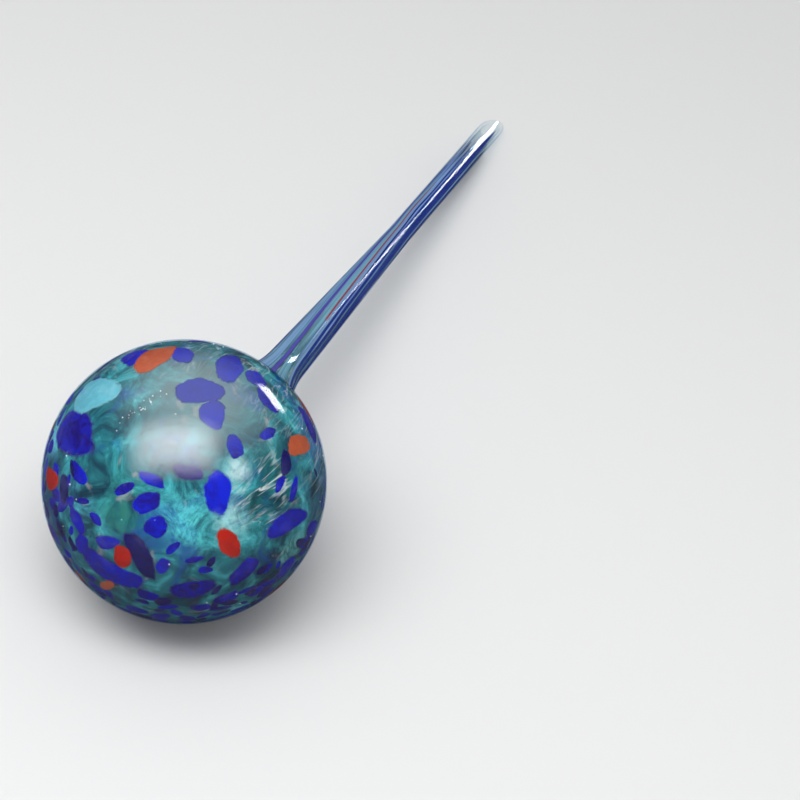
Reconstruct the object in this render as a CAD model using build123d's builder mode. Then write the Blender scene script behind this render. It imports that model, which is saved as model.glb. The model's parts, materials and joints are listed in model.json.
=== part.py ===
from build123d import *

import os
from math import atan, atan2, cos, hypot, pi, radians, sin, sqrt, tan

# A hand-blown watering globe: a round glass bulb that is drawn out into a long hollow stem.
# It lies on its bulb and on the tip of its stem, as it does on a table.
# The bulb is of turquoise glass, with chips of other colours melted flush into its outside. The
# stem is of clear glass. From the neck on, the blower has drawn the colours out into streaks, which
# lie flush in the neck and the stem, and only the tip is left clear.
# Lengths are in millimetres and angles in degrees.

# Driving dimensions of the outside. Reach and station count from the bulb's centre along the stem
bulb_diameter = 75.0
mouth_reach = 230.0
stem_diameter = 7.2
straight_length = 80.0
stem_taper = 1.5
flare_radius = 48.0
mouth_slant = 40.0

# Driving dimensions of the wall and of the frit in it
bulb_wall = 1.8
bore_diameter = 5.2
chip_depth = 0.6
streak_depth = 0.3
clear_tip = 8.0

# Driving dimensions of the chips that are spread evenly over the rest of the bulb
chip_length = 9.0
chip_width = 5.6
chip_spacing = 16.0
chip_stretch = 0.3
neck_margin = 10.0
front_limit = 80.0

# How far out on the front a chip's corner may be seen, and from where to where a chip's blank reaches,
# as shares of the bulb's radius
seen_limit = 0.98
blank_inside = 0.85
blank_outside = 1.1

# The outline of every chip: its corners, how uneven it is, and the angles by which the unevenness,
# the stretch and the turn go on from corner to corner or from chip to chip, so that no two are alike
chip_corners = 6
chip_unevenness = 0.14
corner_step = 149
chip_step = 109
stretch_step = 117
turn_step = 77

# The colours of the chips on the rest of the bulb, in the order in which they follow each other
rest_mix = ("cobalt", "navy", "cobalt", "red", "cobalt", "sky_blue", "cobalt", "cobalt", "orange", "cobalt")

# Rounds in which the tilt at which it lies is worked out
tilt_rounds = 20

# The bulb's front: the side that is up and turned towards a viewer who stands behind the crown
front_direction = Vector(-0.645, -0.292, 0.707)
front_across = Vector(0.449, -0.892, 0.042)

# Chips on the front, placed by hand as they are seen from there: shares of the bulb's radius across
# and up, then the chip's length, width and turn. Where two chips meet, the colour that is named first
# has the whole chip
front_chips = {
    "red": [
        (0.29, -0.42, 6.8, 5.2, -55),
        (-0.41, -0.50, 5.2, 4.7, 80),
        (-0.91, 0.03, 6.3, 3.4, 90),
    ],
    "orange": [
        (-0.20, 0.85, 10.0, 4.7, 40),
        (0.79, 0.25, 5.6, 5.4, 80),
        (-0.53, -0.71, 3.7, 2.4, -20),
    ],
    "sky_blue": [
        (-0.61, 0.59, 12.0, 7.9, 35),
    ],
    "navy": [
        (0.03, 0.06, 7.6, 4.4, -20),
        (-0.29, -0.50, 12.0, 5.2, -60),
        (0.69, 0.13, 7.3, 2.6, 85),
        (-0.82, -0.05, 7.9, 2.6, 90),
    ],
    "cobalt": [
        (-0.74, 0.33, 12.0, 10.0, 80),
        (-0.35, 0.87, 7.9, 4.2, 25),
        (-0.02, 0.88, 6.5, 3.9, -10),
        (0.32, 0.77, 7.9, 6.5, 20),
        (0.08, 0.62, 11.0, 6.3, 8),
        (0.19, 0.46, 7.9, 6.8, 10),
        (0.49, 0.71, 5.8, 3.7, -45),
        (0.57, 0.57, 6.8, 3.9, -60),
        (0.34, 0.23, 6.3, 4.7, -70),
        (0.57, 0.33, 4.2, 2.8, 30),
        (0.87, 0.40, 9.2, 2.8, -62),
        (0.23, -0.08, 10.0, 6.8, 95),
        (-0.22, 0.01, 7.9, 3.0, -25),
        (-0.40, -0.05, 4.7, 2.8, 30),
        (-0.26, -0.15, 7.3, 4.7, 15),
        (-0.19, -0.31, 6.8, 5.2, -60),
        (-0.73, -0.26, 7.9, 3.0, -65),
        (-0.70, -0.43, 4.7, 3.7, -60),
        (-0.52, -0.41, 6.8, 3.4, 5),
        (-0.14, -0.57, 4.5, 3.4, 10),
        (-0.61, -0.56, 5.8, 4.5, -30),
        (-0.42, -0.64, 11.5, 3.7, -25),
        (-0.25, -0.78, 6.2, 2.8, -25),
        (0.06, -0.74, 12.0, 4.5, 10),
        (0.40, -0.61, 10.0, 3.9, 50),
        (0.30, -0.80, 7.2, 2.8, 20),
        (0.71, -0.28, 11.5, 5.2, 25),
        (0.70, -0.60, 6.2, 2.8, 60),
    ],
}

# Streaks: turn about the stem from its upper side, spread about the stem, and how far past the
# bulb's shoulder the streak begins
streaks = {
    "red": [
        (2, 6, 72),
    ],
    "violet": [
        (-10, 12, 9),
    ],
    "sky_blue": [
        (-46, 22, 5),
        (36, 16, 2),
        (196, 30, 4),
        (262, 22, 7),
    ],
    "cobalt": [
        (51, 13, -1),
        (96, 40, 3),
        (140, 20, -2),
        (166, 16, 7),
        (230, 20, 0),
        (290, 16, 2),
    ],
    "turquoise": [
        (-25, 15, 36),
        (17, 20, 36),
        (67, 10, 36),
        (124, 10, 36),
        (215, 7, 36),
        (246, 8, 36),
    ],
}

# Each skin of the wall as the bulb's radius and the stem's radius
outer_skin = (bulb_diameter / 2, stem_diameter / 2)
frit_floor = (outer_skin[0] - chip_depth, outer_skin[1] - streak_depth)
inner_skin = (outer_skin[0] - bulb_wall, bore_diameter / 2)

# Stations along the stem
straight_start = mouth_reach - straight_length
slant_rise = outer_skin[1] * tan(radians(mouth_slant))
frit_end = mouth_reach - slant_rise - clear_tip
blank_end = mouth_reach + 2 * slant_rise

# How it lies: the bulb and the lowest point of the lip both touch the ground
tilt = 0.0
for round_number in range(tilt_rounds):
    lip_drop = outer_skin[1] * hypot(cos(tilt), sin(tilt) * tan(radians(mouth_slant)))
    tilt = atan((outer_skin[0] - lip_drop) / (mouth_reach * cos(tilt)))
tip_overhang = outer_skin[1] * hypot(cos(tilt) * tan(radians(mouth_slant)), sin(tilt))
bulb_centre = Vector((outer_skin[0] - mouth_reach * cos(tilt) - tip_overhang) / 2, 0, outer_skin[0])
stem_direction = Vector(cos(tilt), 0, -sin(tilt))
stem_axis = Axis(bulb_centre, stem_direction)
stem_plane = Plane(origin=bulb_centre, x_dir=stem_direction, z_dir=(0, -1, 0))
front_plane = Plane(origin=bulb_centre, x_dir=front_across, z_dir=front_direction)
mouth_facing = stem_direction * cos(radians(mouth_slant)) + Vector(0, 1, 0) * sin(radians(mouth_slant))
mouth_plane = Plane(origin=bulb_centre + stem_direction * mouth_reach, z_dir=mouth_facing)


def flare_ends(bulb_radius, stem_radius):
    """Where the flare leaves the bulb and where it runs out into the taper, for one skin.

    The flare is an arc that touches the bulb's circle and the tapered side of the upper stem.
    """
    flare = flare_radius + outer_skin[1] - stem_radius
    taper_run = Vector(-cos(radians(stem_taper)), sin(radians(stem_taper)))
    taper_side = Vector(sin(radians(stem_taper)), cos(radians(stem_taper)))
    taper_foot = Vector(straight_start, stem_radius)
    offset_foot = taper_foot + taper_side * flare
    along = offset_foot.dot(taper_run)
    reach = bulb_radius + flare
    run = -along - sqrt(along**2 - offset_foot.dot(offset_foot) + reach**2)
    return (offset_foot + taper_run * run) * (bulb_radius / reach), taper_foot + taper_run * run


def skin_line(bulb_radius, stem_radius, end):
    """Draw one skin of the wall, from the crown to a station on the stem, and return its two ends."""
    shoulder, run_out = flare_ends(bulb_radius, stem_radius)
    bulb = CenterArc((0, 0), bulb_radius, 180, Vector(1, 0).get_angle(shoulder) - 180)
    flare = TangentArc(bulb @ 1, run_out, tangent=bulb % 1)
    taper = Line(flare @ 1, (straight_start, stem_radius))
    straight = Line(taper @ 1, (end, stem_radius))
    return bulb @ 0, straight @ 1


def chip_outline(length, width, number):
    """The corners of one chip, which is longest along x. No two chips are quite alike."""
    corners = []
    for corner in range(chip_corners):
        angle = 2 * pi / chip_corners * corner
        swell = 1 + chip_unevenness * sin(radians(corner_step * corner + chip_step * number))
        corners.append((length / 2 * swell * cos(angle), width / 2 * swell * sin(angle)))
    return corners


def seen_at(across, up):
    """Direction from the bulb's centre to what is seen at a place on the front, given in shares of its radius."""
    reach = min(hypot(across, up), seen_limit)
    turn = atan2(up, across)
    sideways = front_plane.x_dir * cos(turn) + front_plane.y_dir * sin(turn)
    return sideways * reach + front_plane.z_dir * sqrt(1 - reach**2)


def chip_blank(corners):
    """A blank through the directions of a chip's corners, with its sides square to the bulb's outside."""
    middle = sum(corners, Vector()).normalized()
    inner = [bulb_centre + corner * (blank_inside * outer_skin[0] / corner.dot(middle)) for corner in corners]
    outer = [bulb_centre + corner * (blank_outside * outer_skin[0] / corner.dot(middle)) for corner in corners]
    faces = [Face(Wire.make_polygon(inner)), Face(Wire.make_polygon(outer))]
    for number in range(chip_corners):
        side = [inner[number - 1], inner[number], outer[number], outer[number - 1]]
        faces.append(Face(Wire.make_polygon(side)))
    return Solid(Shell(faces))


def rest_spots():
    """Directions from the bulb's centre, on an even spiral, that neither the front nor the neck takes."""
    golden_turn = pi * (3 - sqrt(5))
    count = round(4 * pi * (outer_skin[0] / chip_spacing) ** 2)
    neck_limit = Vector(1, 0).get_angle(shoulder) + neck_margin
    spots = []
    for number in range(count):
        height = 1 - (2 * number + 1) / count
        ring = sqrt(1 - height**2)
        spot = Vector(ring * cos(golden_turn * number), ring * sin(golden_turn * number), height)
        if spot.get_angle(front_direction) > front_limit and spot.get_angle(stem_direction) > neck_limit:
            spots.append(spot)
    return spots


def chip_blanks(colour):
    """Blanks of all chips of one colour, from the floor of their pockets outwards."""
    with BuildPart() as blanks:
        for number, (across, up, length, width, turn) in enumerate(front_chips[colour]):
            corners = []
            for corner in chip_outline(length, width, number):
                seen = Vector(across, up) + Vector(*corner).rotate(Axis.Z, turn) / outer_skin[0]
                corners.append(seen_at(seen.X, seen.Y))
            add(chip_blank(corners))
        for number, spot in enumerate(rest_spots()):
            if rest_mix[number % len(rest_mix)] == colour:
                stretch = 1 + chip_stretch * sin(radians(stretch_step * number))
                chip_plane = Plane((0, 0, 0), z_dir=spot)
                corners = []
                for corner in chip_outline(chip_length * stretch, chip_width / stretch, number):
                    turned = Vector(*corner).rotate(Axis.Z, turn_step * number)
                    place = chip_plane.from_local_coords(turned + Vector(0, 0, outer_skin[0]))
                    corners.append(place.normalized())
                add(chip_blank(corners))
        add(frit_bed.part, mode=Mode.SUBTRACT)
    return blanks.part


def streak_blanks(colour):
    """Wedges about the stem for all streaks of one colour, from the floor of their grooves outwards."""
    with BuildPart() as blanks:
        for turn, spread, start in streaks[colour]:
            side = stem_plane.z_dir.rotate(Axis((0, 0, 0), stem_direction), turn - spread / 2)
            with BuildSketch(Plane(origin=bulb_centre, x_dir=stem_direction, z_dir=side)):
                with Locations((shoulder.X + start, inner_skin[1])):
                    Rectangle(frit_end - shoulder.X - start, bulb_diameter / 2, align=(Align.MIN, Align.MIN))
            revolve(axis=stem_axis, revolution_arc=spread)
        add(frit_bed.part, mode=Mode.SUBTRACT)
    return blanks.part


shoulder, neck_end = flare_ends(*outer_skin)
neck_plane = Plane(origin=bulb_centre + stem_direction * neck_end.X, z_dir=stem_direction)

os.makedirs("parts", exist_ok=True)

# The whole wall, from the crown to the slanted mouth, which the two glasses and the frit share
with BuildPart() as wall:
    with BuildSketch(stem_plane):
        with BuildLine():
            outer_crown, outer_end = skin_line(*outer_skin, blank_end)
            inner_crown, inner_end = skin_line(*inner_skin, blank_end)
            Line(inner_end, outer_end)
            Line(inner_crown, outer_crown)
        make_face()
    revolve(axis=stem_axis)
    split(bisect_by=mouth_plane, keep=Keep.BOTTOM)

# What lies under the frit: its skin is the floor of every pocket and groove
with BuildPart() as frit_bed:
    with BuildSketch(stem_plane):
        with BuildLine():
            bed_crown, bed_end = skin_line(*frit_floor, blank_end)
            Polyline(bed_end, (blank_end, 0), bed_crown)
        make_face()
    revolve(axis=stem_axis)

# The chips on the bulb
blanks_so_far = []
for colour in front_chips:
    blanks = chip_blanks(colour)
    with BuildPart() as chips:
        add(blanks)
        add(wall.part, mode=Mode.INTERSECT)
        add(blanks_so_far, mode=Mode.SUBTRACT)
    chips.part.label = f"{colour}_chips"
    export_step(chips.part, f"parts/{colour}_chips.step")
    blanks_so_far.append(blanks)

# The streaks along the neck and the stem, cut by the chips and streaks that they meet
for colour in streaks:
    blanks = streak_blanks(colour)
    with BuildPart() as drawn_out:
        add(blanks)
        add(wall.part, mode=Mode.INTERSECT)
        add(blanks_so_far, mode=Mode.SUBTRACT)
    drawn_out.part.label = f"{colour}_streaks"
    export_step(drawn_out.part, f"parts/{colour}_streaks.step")
    blanks_so_far.append(blanks)

# The two glasses, with a pocket for each chip and a groove for each streak
for glass_name, kept_side in (("turquoise_bulb", Keep.BOTTOM), ("clear_stem", Keep.TOP)):
    with BuildPart() as glass:
        add(wall.part)
        split(bisect_by=neck_plane, keep=kept_side)
        add(blanks_so_far, mode=Mode.SUBTRACT)
    glass.part.label = glass_name
    export_step(glass.part, f"parts/{glass_name}.step")
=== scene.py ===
# A hand-blown watering globe of turquoise glass with chips of coloured frit, lying on a pale floor.
import json
import logging
import math
import random
from dataclasses import dataclass, field
from enum import Enum
from functools import cached_property
from typing import Iterator

import bmesh
import bpy
from mathutils import Matrix, Vector, noise


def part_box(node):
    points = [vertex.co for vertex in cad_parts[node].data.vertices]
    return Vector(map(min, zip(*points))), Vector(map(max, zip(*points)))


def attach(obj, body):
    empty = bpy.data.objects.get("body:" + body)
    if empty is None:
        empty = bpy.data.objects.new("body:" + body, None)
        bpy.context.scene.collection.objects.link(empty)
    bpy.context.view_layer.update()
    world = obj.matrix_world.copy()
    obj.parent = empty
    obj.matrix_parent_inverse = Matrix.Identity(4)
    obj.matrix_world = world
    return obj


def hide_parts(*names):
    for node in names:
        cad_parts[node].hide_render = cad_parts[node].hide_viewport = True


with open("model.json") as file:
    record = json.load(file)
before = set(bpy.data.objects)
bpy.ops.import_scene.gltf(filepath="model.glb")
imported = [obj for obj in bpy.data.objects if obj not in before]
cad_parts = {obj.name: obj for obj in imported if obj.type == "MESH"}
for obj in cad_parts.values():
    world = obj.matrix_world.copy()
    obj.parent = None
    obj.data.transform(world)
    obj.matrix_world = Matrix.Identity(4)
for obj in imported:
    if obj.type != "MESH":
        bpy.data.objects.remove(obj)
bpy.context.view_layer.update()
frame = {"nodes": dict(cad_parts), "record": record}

LOG = logging.getLogger("watering_globe")
MM = 0.001
MERGE = 0.001 * MM
BODY = "root"
CLEAR_SLOT = "clear_glass"
Range = tuple[float, float]
Triple = tuple[float, float, float]
Rgb = Triple
Stops = tuple[tuple[float, Rgb], ...]
Socket = bpy.types.NodeSocket
Value = Socket | float | Triple


class Frit(Enum):
    """The coloured glasses, in the order in which they lie on each other, the uppermost first."""

    RED = "red"
    ORANGE = "orange"
    SKY_BLUE = "sky_blue"
    NAVY = "navy"
    COBALT = "cobalt"
    VIOLET = "violet"
    TURQUOISE = "turquoise"

    @property
    def slot(self) -> str:
        """The record's material slot of this glass."""
        return f"{self.value}_glass"


@dataclass(frozen=True)
class Outline:
    """The globe's outer skin as a line that is turned about the stem.

    A run is a length along that line from the crown, a turn is an angle about the stem from its
    upper side, and a depth is a distance below the skin. A flat vector is one in the plane of the
    line, as (along the stem, away from it).
    """

    centre: Vector
    axis: Vector
    bulb_radius: float
    stem_radius: float
    straight_start: float
    mouth_reach: float
    flare_radius: float = 48 * MM
    taper: float = math.radians(1.5)
    mouth_slant: float = math.radians(40)
    twist: float = math.radians(-0.5) / MM
    twist_end: float = 96 * MM

    @classmethod
    def from_frame(cls, record: dict) -> "Outline":
        """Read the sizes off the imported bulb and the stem's mount.

        Args:
            record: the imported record.

        Returns:
            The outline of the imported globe.
        """
        low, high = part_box("turquoise_bulb")
        stem = next(mount for mount in record["mounts"] if mount["name"] == "stem")
        axis = Vector(stem["axis"]).normalized()
        radius = (high.z - low.z) / 2
        middle = Vector(stem["pos_m"])
        middle_reach = (middle.z - low.z - radius) / axis.z
        half_length = stem["dims"]["length_mm"] * MM / 2
        return cls(
            centre=middle - axis * middle_reach,
            axis=axis,
            bulb_radius=radius,
            stem_radius=stem["dims"]["r_mm"] * MM,
            straight_start=middle_reach - half_length,
            mouth_reach=middle_reach + half_length,
        )

    @cached_property
    def upper(self) -> Vector:
        """The direction square to the stem that points up."""
        return Vector((0, -1, 0)).cross(self.axis)

    @cached_property
    def taper_side(self) -> Vector:
        """Outward normal of the tapered stretch, flat."""
        return Vector((math.sin(self.taper), math.cos(self.taper)))

    @cached_property
    def taper_back(self) -> Vector:
        """Direction of the tapered stretch towards the bulb, flat."""
        return Vector((-math.cos(self.taper), math.sin(self.taper)))

    @cached_property
    def straight_foot(self) -> Vector:
        """Where the taper ends and the straight stem begins, flat."""
        return Vector((self.straight_start, self.stem_radius))

    @cached_property
    def flare_middle(self) -> Vector:
        """Middle of the flare's arc, which touches the bulb and the tapered stretch, flat.

        Returns:
            The point that is one flare radius from both.
        """
        foot = self.straight_foot + self.taper_side * self.flare_radius
        along = foot.dot(self.taper_back)
        reach = self.bulb_radius + self.flare_radius
        back = -along - math.sqrt(along**2 - foot.length_squared + reach**2)
        return foot + self.taper_back * back

    @cached_property
    def shoulder_angle(self) -> float:
        """Angle at the bulb's centre between the stem and the shoulder, where the flare begins."""
        return math.atan2(self.flare_middle.y, self.flare_middle.x)

    @cached_property
    def shoulder_run(self) -> float:
        """Run at which the bulb ends and the flare begins."""
        return self.bulb_radius * (math.pi - self.shoulder_angle)

    @cached_property
    def neck_run(self) -> float:
        """Run at which the flare ends and the tapered stem begins."""
        swept = math.pi / 2 - self.taper - self.shoulder_angle
        return self.shoulder_run + self.flare_radius * swept

    @cached_property
    def straight_run(self) -> float:
        """Run at which the taper ends and the straight stem begins."""
        neck = self.flare_middle - self.taper_side * self.flare_radius
        return self.neck_run + (self.straight_foot - neck).length

    @cached_property
    def mouth_run(self) -> float:
        """Run of the middle of the slanted mouth."""
        return self.straight_run + self.mouth_reach - self.straight_start

    @cached_property
    def mouth_facing(self) -> Vector:
        """The direction that the slanted mouth faces."""
        aside = Vector((0, 1, 0))
        return self.axis * math.cos(self.mouth_slant) + aside * math.sin(self.mouth_slant)

    def profile(self, run: float) -> tuple[Vector, Vector]:
        """One point of the turned line.

        Args:
            run: length along the line from the crown.

        Returns:
            The point and its outward normal, both flat.
        """
        if run < self.shoulder_run:
            angle = math.pi - run / self.bulb_radius
            normal = Vector((math.cos(angle), math.sin(angle)))
            return normal * self.bulb_radius, normal
        if run < self.neck_run:
            angle = self.shoulder_angle + (run - self.shoulder_run) / self.flare_radius
            normal = Vector((math.cos(angle), math.sin(angle)))
            return self.flare_middle - normal * self.flare_radius, normal
        if run < self.straight_run:
            back = self.taper_back * (self.straight_run - run)
            return self.straight_foot + back, self.taper_side
        station = self.straight_start + run - self.straight_run
        return Vector((station, self.stem_radius)), Vector((0, 1))

    def radial(self, turn: float) -> Vector:
        """Direction away from the stem at a turn about it."""
        return self.upper * math.cos(turn) + Vector((0, -1, 0)) * math.sin(turn)

    def turn_of(self, away: Vector) -> float:
        """The turn of a point that is given from the bulb's centre."""
        return math.atan2(-away.y, away.dot(self.upper))

    def at(self, run: float, turn: float, depth: float = 0.0) -> Vector:
        """A point on or below the skin.

        Args:
            run: length along the turned line from the crown.
            turn: angle about the stem from its upper side.
            depth: distance below the skin.

        Returns:
            The point in the globe's frame.
        """
        point, normal = self.profile(run)
        inset = point - normal * depth
        return self.centre + self.axis * inset.x + self.radial(turn) * inset.y

    def on_bulb(self, direction: Vector, depth: float = 0.0) -> Vector:
        """A point on or below the bulb's skin, in a direction from the bulb's centre."""
        return self.centre + direction * (self.bulb_radius - depth)

    def locate(self, point: Vector) -> Triple:
        """Where a point of the bulb or the flare lies.

        Args:
            point: the point in the globe's frame.

        Returns:
            Its run, turn and depth.
        """
        away = point - self.centre
        turn = self.turn_of(away)
        station = away.dot(self.axis)
        flat = Vector((station, (away - self.axis * station).length))
        angle = math.atan2(flat.y, flat.x)
        if angle > self.shoulder_angle:
            return self.bulb_radius * (math.pi - angle), turn, self.bulb_radius - flat.length
        spoke = self.flare_middle - flat
        swept = math.atan2(spoke.y, spoke.x) - self.shoulder_angle
        run = self.shoulder_run + self.flare_radius * swept
        return run, turn, spoke.length - self.flare_radius

    def twist_at(self, run: float) -> float:
        """How far the drawn colours have turned about the stem at a run."""
        return self.twist * min(self.twist_end, run - self.neck_run)

    def drawn(self, run: float, turn: float) -> Vector:
        """Coordinates in which a pattern comes out drawn along the stem, with no seam round it."""
        return Vector((math.cos(turn), math.sin(turn), run / self.bulb_radius))


@dataclass(frozen=True)
class FrontView:
    """The bulb's front as a viewer sees it, for placing things by shares of the bulb's radius."""

    facing: Vector = field(default_factory=lambda: Vector((-0.645, -0.292, 0.707)))
    across: Vector = field(default_factory=lambda: Vector((0.449, -0.892, 0.042)))
    # Where the painted haze of reflection lies on the front, and how far it reaches
    painted_haze_spot: Range = (0.10, 0.62)
    painted_haze_reach: float = 27 * MM

    @property
    def up(self) -> Vector:
        """The viewer's upward direction."""
        return self.facing.cross(self.across)

    def direction(self, across: float, up: float) -> Vector:
        """Direction from the bulb's centre.

        Args:
            across: share of the radius to the right.
            up: share of the radius upwards.

        Returns:
            A unit vector in the globe's frame.
        """
        forward = math.sqrt(max(0.0, 1 - across**2 - up**2))
        return (self.across * across + self.up * up + self.facing * forward).normalized()


@dataclass(frozen=True)
class Grain:
    """A noise pattern.

    It repeats with its scale and has as many finer layers as its detail says. Its rough is how
    strong those are, and its swirl how far it is distorted. Patches of it rise from its start to
    its end, and its stretch scales each axis beforehand.
    """

    scale: float
    detail: float = 4
    rough: float = 0.55
    swirl: float = 0.0
    start: float = 0.0
    end: float = 1.0
    stretch: Triple | None = None


class NodeTree:
    """The nodes of a material or a lamp, with short calls for the kinds of node that are used."""

    near_core: float = 0.2
    # How high the painted shade reaches, in bulb radii
    painted_shade_top: float = 1.8
    matte_roughness: float = 0.5

    def __init__(self, owner: bpy.types.Material | bpy.types.Light) -> None:
        """Start with an empty node tree.

        Args:
            owner: the material or the lamp that the nodes belong to.
        """
        owner.use_nodes = True
        self.owner = owner
        self.tree: bpy.types.ShaderNodeTree = owner.node_tree
        self.tree.nodes.clear()

    @classmethod
    def named(cls, name: str) -> "NodeTree":
        """Start an empty material of that name."""
        return cls(bpy.data.materials.new(name))

    def put(self, socket: Socket, value: Value) -> None:
        """Give an input socket a value, or link another socket to it.

        Args:
            socket: the input socket.
            value: a number, a colour, a vector or another socket.
        """
        if isinstance(value, bpy.types.NodeSocket):
            self.tree.links.new(value, socket)
        elif isinstance(value, tuple) and socket.type == "RGBA":
            socket.default_value = (*value, 1.0)
        else:
            socket.default_value = value

    def add(
        self, kind: str, inputs: dict[int | str, Value], **settings: str | bool
    ) -> bpy.types.Node:
        """Add a node and feed it.

        Args:
            kind: the node's type name without the Shader Node prefix.
            inputs: what goes into its input sockets, by number or name.
            settings: attributes of the node to set beforehand.

        Returns:
            The new node.
        """
        node = self.tree.nodes.new(f"ShaderNode{kind}")
        for key, setting in settings.items():
            setattr(node, key, setting)
        for key, value in inputs.items():
            self.put(node.inputs[key], value)
        return node

    def math(self, operation: str, *values: Value) -> Socket:
        """A Math node's result for up to three sockets or numbers."""
        return self.add("Math", dict(enumerate(values)), operation=operation).outputs[0]

    def times(self, first: Value, second: Value) -> Socket:
        """The product of two sockets or numbers."""
        return self.math("MULTIPLY", first, second)

    def mix(self, share: Value, first: Value, second: Value, blend: str = "MIX") -> Socket:
        """A colour mixed from two sockets or colours by a share."""
        inputs = {0: share, 6: first, 7: second}
        return self.add("Mix", inputs, data_type="RGBA", blend_type=blend).outputs[2]

    def span(self, value: Value, low: float, high: float) -> Socket:
        """Map a value smoothly to 0 at low and 1 at high, clamped."""
        inputs = {0: value, 1: low, 2: high}
        return self.add("MapRange", inputs, interpolation_type="SMOOTHSTEP", clamp=True).outputs[0]

    def place(self) -> Socket:
        """The point in the globe's own coordinates."""
        return self.add("TexCoord", {}).outputs["Object"]

    def attribute(self, name: str, output: str = "Fac") -> Socket:
        """An attribute that the piece's mesh carries."""
        return self.add("Attribute", {}, attribute_name=name).outputs[output]

    def part(self, vector: Socket, axis: str) -> Socket:
        """A vector's part along an axis."""
        return self.add("SeparateXYZ", {0: vector}).outputs[axis]

    def noise(self, vector: Socket, grain: Grain) -> Socket:
        """A noise texture.

        Args:
            vector: where it is looked up.
            grain: the pattern.

        Returns:
            Its grey value, from 0 to 1.
        """
        if grain.stretch is not None:
            inputs = {0: vector, 1: grain.stretch}
            vector = self.add("VectorMath", inputs, operation="MULTIPLY").outputs[0]
        inputs = {
            "Vector": vector,
            "Scale": grain.scale,
            "Detail": grain.detail,
            "Roughness": grain.rough,
            "Distortion": grain.swirl,
        }
        return self.add("TexNoise", inputs).outputs["Fac"]

    def patches(self, vector: Socket, grain: Grain) -> Socket:
        """Patches of a noise: 0 below the grain's start, 1 above its end."""
        return self.span(self.noise(vector, grain), grain.start, grain.end)

    def ramp(self, value: Socket, stops: Stops) -> Socket:
        """Colours along a value.

        Args:
            value: the value.
            stops: the places along it, each with its colour.

        Returns:
            The colour.
        """
        node = self.add("ValToRGB", {0: value})
        elements = node.color_ramp.elements
        while len(elements) < len(stops):
            elements.new(0.5)
        for element, (position, colour) in zip(elements, stops):
            element.position = position
            element.color = (*colour, 1.0)
        return node.outputs[0]

    def near(self, place: Socket, spot: Vector, reach: float) -> Socket:
        """How near a point is to a spot: 1 close to it, 0 at its reach."""
        away = self.add("VectorMath", {0: place, 1: tuple(spot)}, operation="DISTANCE")
        return self.span(away.outputs["Value"], reach, self.near_core * reach)

    def painted_haze(self, place: Socket, outline: Outline, front: FrontView) -> Socket:
        """How deep a point lies in the painted haze on the bulb's front: a pale veil of reflection
        painted into the colour.
        """
        spot = outline.on_bulb(front.direction(*front.painted_haze_spot))
        return self.near(place, spot, front.painted_haze_reach)

    def with_painted_shade(self, colour: Socket, place: Socket, lowest: float, radius: float) -> Socket:
        """A colour with painted shade: full on the upper side of the bulb, darker towards the floor.

        Args:
            colour: the full colour.
            place: where the point is.
            lowest: the share of the colour that the painted shade leaves at the floor.
            radius: the bulb's radius.

        Returns:
            The shaded colour.
        """
        rise = self.span(self.part(place, "Z"), 0.0, self.painted_shade_top * radius)
        level = self.mix(rise, (lowest, lowest, lowest), (1.0, 1.0, 1.0))
        return self.mix(1.0, colour, level, "MULTIPLY")

    def bump(self, height: Socket, strength: float, distance: float) -> Socket:
        """A normal that a height changes."""
        inputs = {"Strength": strength, "Distance": distance, "Height": height}
        return self.add("Bump", inputs).outputs["Normal"]

    def principled(
        self, colour: Value, roughness: float, specular: float, normal: Socket | None = None
    ) -> Socket:
        """A Principled shader.

        Args:
            colour: its colour.
            roughness: how dull its gloss is.
            specular: how strong its gloss is.
            normal: its normal, where it has a bump.

        Returns:
            The shader's output.
        """
        inputs = {"Base Color": colour, "Roughness": roughness, "Specular IOR Level": specular}
        if normal is not None:
            inputs["Normal"] = normal
        return self.add("BsdfPrincipled", inputs).outputs[0]

    def matte(self, colour: Value, normal: Socket | None = None) -> Socket:
        """Coloured glass under the clear skin, without a gloss of its own."""
        return self.principled(colour, self.matte_roughness, 0.0, normal)

    def blend(self, share: Value, first: Socket, second: Socket) -> Socket:
        """A Mix Shader of two shaders by a share."""
        return self.add("MixShader", {0: share, 1: first, 2: second}).outputs[0]

    def covering(self, share: Socket, surface: Socket) -> Socket:
        """A surface that covers a share and is see-through for the rest."""
        return self.blend(share, self.add("BsdfTransparent", {}).outputs[0], surface)

    def finish(
        self, surface: Socket, output: str = "OutputMaterial"
    ) -> bpy.types.Material | bpy.types.Light:
        """Link the surface to the output and return what the nodes belong to."""
        self.add(output, {"Surface": surface})
        return self.owner


@dataclass(frozen=True)
class PlainFinish:
    """An even surface of one colour."""

    name: str
    colour: Rgb
    roughness: float
    specular: float

    def material(self) -> bpy.types.Material:
        """Build the material."""
        nodes = NodeTree.named(self.name)
        return nodes.finish(nodes.principled(self.colour, self.roughness, self.specular))


@dataclass(frozen=True)
class ClearFinish:
    """Clear polished glass: what lies behind shows through, under a gloss that grows to the rim."""

    name: str = "clear_polished_glass"
    tint: Rgb = (0.96, 0.985, 0.99)
    rim_tint: Rgb = (0.52, 0.66, 0.78)
    tint_power: float = 3.0
    gloss: float = 0.022
    rim_gloss: float = 0.08
    gloss_power: float = 4.0
    roughness: float = 0.03

    def material(self) -> bpy.types.Material:
        """Build the material.

        Returns:
            The material of the clear glass.
        """
        nodes = NodeTree.named(self.name)
        facing = nodes.add("LayerWeight", {"Blend": 0.5}).outputs["Facing"]
        tint = nodes.mix(nodes.math("POWER", facing, self.tint_power), self.tint, self.rim_tint)
        clear = nodes.add("BsdfTransparent", {"Color": tint}).outputs[0]
        gloss = nodes.add("BsdfGlossy", {"Roughness": self.roughness}).outputs[0]
        rim = nodes.math("POWER", facing, self.gloss_power)
        share = nodes.math("MULTIPLY_ADD", rim, self.rim_gloss, self.gloss)
        return nodes.finish(nodes.blend(share, clear, gloss))


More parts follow.
